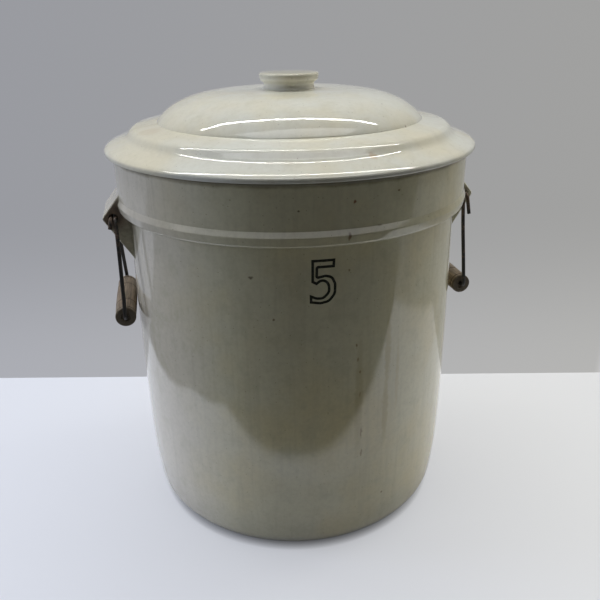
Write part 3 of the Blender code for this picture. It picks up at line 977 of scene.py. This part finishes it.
class MakeGrips(bpy.types.Operator):
    """Makes the two turned wooden grips"""

    bl_idname = "crock.make_grips"
    bl_label = "Make grips"

    def execute(self, context):
        settings = context.scene.crock_grips
        wood = turned_wood("wood_look", settings.colour)
        for word, side in SIDES:
            bm = spun(self.profile(settings), 64, axis=(0, 1, 0), ring=True)
            bmesh.ops.translate(bm, verts=bm.verts, vec=(side * GRIP_X, 0, GRIP_Z))
            grip = add_piece(
                "wood_" + word, bm, wood, word + "_grip", sharp_angle=60
            )
            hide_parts(word + "_grip")
        return {"FINISHED"}

    def profile(self, settings):
        """The grip's outline, each half with a groove in its barrel and one by its bead."""
        waist = settings.radius * GRIP_WAIST_SHARE
        rim = settings.radius - GRIP_RIM_DROP
        deep = settings.groove_depth

        def barrel(along):
            return waist + (settings.radius - waist) * (1 - (along / GRIP_HALF_LENGTH) ** 2)

        groove_start = GROOVE_PLACE - GROOVE_HALF_WIDTH
        groove_end = GROOVE_PLACE + GROOVE_HALF_WIDTH
        bead_start = BEAD_GROOVE_PLACE - BEAD_GROOVE_HALF_WIDTH
        bead_rim = barrel(BEAD_GROOVE_PLACE)
        right = [
            *((barrel(place), place, 0) for place in BARREL_PLACES),
            (barrel(groove_start), groove_start, GROOVE_LIP_ROUNDING),
            (barrel(GROOVE_PLACE) - deep, GROOVE_PLACE, EDGE_ROUNDING),
            (barrel(groove_end), groove_end, GROOVE_LIP_ROUNDING),
            *((barrel(place), place, 0) for place in OUTER_BARREL_PLACES),
            (bead_rim, bead_start, EDGE_ROUNDING),
            (bead_rim - deep, BEAD_GROOVE_PLACE, EDGE_ROUNDING),
            (rim, BEAD_GROOVE_PLACE + BEAD_RISE, BEAD_RISE_ROUNDING),
            (rim, GRIP_HALF_LENGTH, GRIP_RIM_ROUNDING),
            (DISH_RADIUS, GRIP_HALF_LENGTH, DISH_ROUNDING),
            (DISH_FOOT_RADIUS, GRIP_HALF_LENGTH - DISH_DEPTH, DISH_ROUNDING),
            (GRIP_BORE_RADIUS, GRIP_HALF_LENGTH - GRIP_BORE_DEPTH, 0),
        ]
        left = [(radius, -along, rounding) for radius, along, rounding in reversed(right)]
        corners = [((radius, along, 0), rounding) for radius, along, rounding in left + right]
        return fillet(corners, steps=4)


class MakeStage(bpy.types.Operator):
    """Makes the table, backdrop, lamps, world and camera"""

    bl_idname = "crock.make_stage"
    bl_label = "Make stage"

    def execute(self, context):
        settings = context.scene.crock_stage
        scene = context.scene
        scene.view_settings.view_transform = "Standard"
        self.floor(settings)
        self.wall(settings)
        self.lamps(settings)
        self.world(scene)
        self.camera(scene)
        return {"FINISHED"}

    def plane(self, name, size_x, size_y, material):
        bm = bmesh.new()
        bmesh.ops.create_grid(bm, x_segments=1, y_segments=1, size=0.5)
        bmesh.ops.scale(bm, vec=(size_x, size_y, 1), verts=bm.verts)
        plane = made_object(name, made_mesh(name, bm))
        plane.data.materials.append(material)
        return plane

    def floor(self, settings):
        """A pale table, painted dark to reflected and bounced light past its edges, a painted
        reflection of the dim room beyond, and before the foot, a painted shadow.
        """
        nodes = look("table_look")
        where = nodes.place()
        x, y = nodes.split(where)[:2]
        left, right = rgba(settings.floor_left), rgba(settings.floor_right)
        # The table is bluish at the left: painted bluish light from the left
        plain = nodes.mix(nodes.ramp(x, -0.35, 0.35), left, right)
        cloud = nodes.ramp(nodes.noise(where, 3.0, 3.0), 0.3, 0.7, 0.0, 0.04)
        tone = nodes.mix(cloud, plain, rgba((0.5, 0.5, 0.5)))
        way_x, way_y = TABLE_CORNER_WAY
        corner_way = nodes.plus(nodes.times(x, way_x), y, way_y)
        beyond = nodes.ramp(nodes.plus(y, x, TABLE_FRONT_SLANT), *TABLE_FRONT)
        for edge in (
            nodes.ramp(x, *TABLE_LEFT),
            nodes.ramp(corner_way, *TABLE_CORNER),
            nodes.ramp(x, *TABLE_RIGHT, 0.0, TABLE_RIGHT_SHARE),
        ):
            beyond = nodes.math("MAXIMUM", beyond, edge)
        aside = nodes.math("ABSOLUTE", x)
        # Before the foot, reflected and bounced light see a painted shadow
        in_front = nodes.times(nodes.ramp(y, -0.255, -0.225), nodes.ramp(y, 0.0, -0.1))
        painted_foot_shadow = nodes.times(nodes.ramp(aside, 0.17, 0.06, 0.0, 0.45), in_front)
        rays = nodes.rays()
        seen = rays["Is Camera Ray"]
        unlit = nodes.math("MAXIMUM", beyond, painted_foot_shadow)
        unlit = nodes.times(unlit, nodes.math("SUBTRACT", 1.0, seen))
        tone = nodes.mix(unlit, tone, rgba(TABLE_SHADE))
        nodes.feed(nodes.shader, {"Base Color": tone, "Roughness": 0.75, "Specular IOR Level": 0.2})
        # The table's glow is darker close to the foot: a painted contact shadow
        shade = nodes.add("AmbientOcclusion", {"Color": plain, "Distance": CONTACT_SHADE_REACH})
        # Glossy rays see less glow before the pot than at the sides: a painted darker reflection
        shiny = nodes.math("MAXIMUM", rays["Is Glossy Ray"], rays["Is Transmission Ray"])
        shiny = nodes.times(shiny, nodes.ramp(aside, 0.10, 0.34, 0.2, 1.0))
        shiny = nodes.times(shiny, nodes.math("SUBTRACT", 1.0, beyond))
        share = nodes.math("MAXIMUM", nodes.times(seen, 0.62), shiny)
        strength = nodes.math("SUBTRACT", 1.2, nodes.times(seen, 0.18))
        self.glow(nodes, shade.outputs["Color"], share, strength)
        floor = self.plane("table", TABLE_SIZE, TABLE_SIZE, nodes.owner)
        floor.location = (0, 0, -TABLE_SINK)

    def glow(self, nodes, colour, share, strength):
        """Lets a stage surface show a share of its own colour, whatever light falls on it."""
        own = nodes.add("Emission", {0: colour, 1: strength}).outputs[0]
        return self.blended(nodes, share, nodes.shader.outputs[0], own)

    def blended(self, nodes, share, first, second):
        """Shows a mix of two shaders on a surface."""
        joined = nodes.add("MixShader", {0: share, 1: first, 2: second}).outputs[0]
        nodes.tree.links.new(joined, nodes.tree.nodes["Material Output"].inputs[0])
        return joined

    def wall(self, settings):
        """A backdrop close behind, seen only from the front, which ends short for the camera."""
        nodes = look("wall_look")
        x, y = nodes.split(nodes.place())[:2]
        left, right = rgba(settings.wall_left), rgba(settings.wall_right)
        # Bluish at the left and warmer at the right: painted light colour
        plain = nodes.mix(nodes.ramp(x, 0.6, 1.8), left, right)
        # Lighter towards the table: painted light
        level = nodes.ramp(y, -WALL_HEIGHT / 2, -0.07, 1.26, 0.98)
        grey = nodes.add("CombineColor", {0: level, 1: level, 2: level}).outputs[0]
        tone = nodes.mix(1.0, plain, grey, blend="MULTIPLY")
        nodes.feed(nodes.shader, {"Base Color": tone, "Roughness": 0.9, "Specular IOR Level": 0.1})
        rays = nodes.rays()
        seen = nodes.math("MAXIMUM", rays["Is Camera Ray"], rays["Is Glossy Ray"])
        seen = nodes.math("MAXIMUM", seen, rays["Is Transmission Ray"])
        shown = self.glow(nodes, tone, seen, 1.0)
        clear = nodes.add("BsdfTransparent").outputs[0]
        behind = nodes.add("NewGeometry").outputs["Backfacing"]
        end = nodes.times(rays["Is Camera Ray"], nodes.ramp(x, *WALL_END))
        self.blended(nodes, nodes.math("MAXIMUM", behind, end), shown, clear)
        wall = self.plane("backdrop", WALL_WIDTH, WALL_HEIGHT, nodes.owner)
        place = Matrix.Translation((*WALL_PLACE, WALL_HEIGHT / 2 - TABLE_SINK))
        turn = Matrix.Rotation(WALL_TURN, 4, "Z") @ Matrix.Rotation(math.pi / 2, 4, "X")
        wall.matrix_world = place @ turn @ Matrix.Translation((WALL_SHIFT, 0, 0))
        wall.visible_shadow = False

    def lamp(self, name, place, aim, size, power, colour=(1, 1, 1), glossy=True):
        """A lamp that the camera doesn't see, aimed at a point or turned by an Euler."""
        if not isinstance(aim, Euler):
            aim = (Vector(aim) - Vector(place)).to_track_quat("-Z", "Y")
        light = bpy.data.lights.new(name, "AREA")
        light.shape = "RECTANGLE"
        light.size, light.size_y = size
        light.energy = power
        light.color = colour
        lamp = made_object(name, light)
        lamp.matrix_world = Matrix.Translation(place) @ aim.to_matrix().to_4x4()
        lamp.visible_camera = False
        lamp.visible_glossy = glossy
        return lamp

    def lamps(self, settings):
        """A long tube and a ceiling that the glaze reflects, and soft light that it doesn't."""
        tube_turn = Euler((math.radians(-8), 0, math.radians(-8)))
        self.lamp("tube", place=(0, 0.646, 2.28), aim=tube_turn, size=(3.6, 0.055),
                  power=settings.tube_power, colour=(1.0, 0.99, 0.95))
        self.lamp("soft_top", place=(0, 0.30, 2.6), aim=(0, 0.1, 0.3), size=(2.4, 1.6),
                  power=settings.soft_power, colour=(0.99, 1.0, 0.99), glossy=False)
        ceiling = self.lamp("ceiling", place=(0, -0.95, 2.6), aim=(0, -0.95, 0), size=(3.0, 1.5),
                            power=26.0)
        ceiling.visible_diffuse = False
        self.lamp("soft_left", place=(-2.2, 0.5, 0.64), aim=(0, 0.0, 0.15), size=(0.7, 1.15),
                  power=27.0, colour=(0.70, 0.78, 1.0), glossy=False)
        self.lamp("soft_right", place=(1.5, 0.25, 0.9), aim=(0, 0.0, 0.2), size=(0.5, 1.2),
                  power=8.0, colour=(1.0, 0.98, 0.90), glossy=False)

    def world(self, scene):
        """Plain grey surroundings, dim in front but for a low strip of light round the room."""
        nodes = Nodes(bpy.data.worlds.new("room"), "Background")
        x, y, z = nodes.split(nodes.add("TexCoord").outputs["Generated"])
        bow = nodes.times(nodes.times(x, x), 0.13)
        off = nodes.math("ABSOLUTE", nodes.math("SUBTRACT", nodes.math("ADD", z, bow), 0.345))
        strip = nodes.times(
            nodes.ramp(off, 0.050, 0.035, 0.0, 0.9, kind="LINEAR"),
            nodes.ramp(y, 0.25, 0.05, kind="LINEAR"),
        )
        level = nodes.ramp(y, -0.45, 0.35, 0.035, 0.35, kind="LINEAR")
        level = nodes.math("ADD", level, strip)
        seen = nodes.rays()["Is Camera Ray"]
        shown = nodes.add("Mix", {0: seen, 2: level, 3: 0.345}).outputs[0]
        nodes.feed(nodes.shader, {"Strength": shown, "Color": (1.0, 1.0, 1.0, 1.0)})
        scene.world = nodes.owner

    def camera(self, scene):
        view = bpy.data.cameras.new("camera")
        view.lens = CAMERA_LENS
        view.sensor_width = 36.0
        view.sensor_fit = "HORIZONTAL"
        view.clip_start = 0.01
        camera = made_object("camera", view)
        camera.matrix_world = Matrix.Translation(CAMERA_PLACE) @ Matrix(CAMERA_TURN).to_4x4()
        scene.camera = camera


GROUPS = (
    ("crock_pot", PotSettings, MakePot),
    ("crock_lid", LidSettings, MakeLid),
    ("crock_numeral", NumeralSettings, MakeNumeral),
    ("crock_bails", BailSettings, MakeBails),
    ("crock_grips", GripSettings, MakeGrips),
    ("crock_stage", StageSettings, MakeStage),
)


class CrockPanel(bpy.types.Panel):
    bl_idname = "VIEW3D_PT_crock"
    bl_label = "Stoneware crock"
    bl_space_type = "VIEW_3D"
    bl_region_type = "UI"
    bl_category = "Crock"

    def draw(self, context):
        for name, settings, operator in GROUPS:
            box = self.layout.box()
            for key in settings.__annotations__:
                box.prop(getattr(context.scene, name), key)
            box.operator(operator.bl_idname)


def register():
    for name, settings, operator in GROUPS:
        bpy.utils.register_class(settings)
        bpy.utils.register_class(operator)
        setattr(bpy.types.Scene, name, bpy.props.PointerProperty(type=settings))
    bpy.utils.register_class(CrockPanel)


def unregister():
    bpy.utils.unregister_class(CrockPanel)
    for name, settings, operator in reversed(GROUPS):
        delattr(bpy.types.Scene, name)
        bpy.utils.unregister_class(operator)
        bpy.utils.unregister_class(settings)


def main():
    register()
    bpy.ops.crock.make_pot()
    bpy.ops.crock.make_lid()
    bpy.ops.crock.make_numeral()
    bpy.ops.crock.make_bails()
    bpy.ops.crock.make_grips()
    bpy.ops.crock.make_stage()


if __name__ == "__main__":
    main()
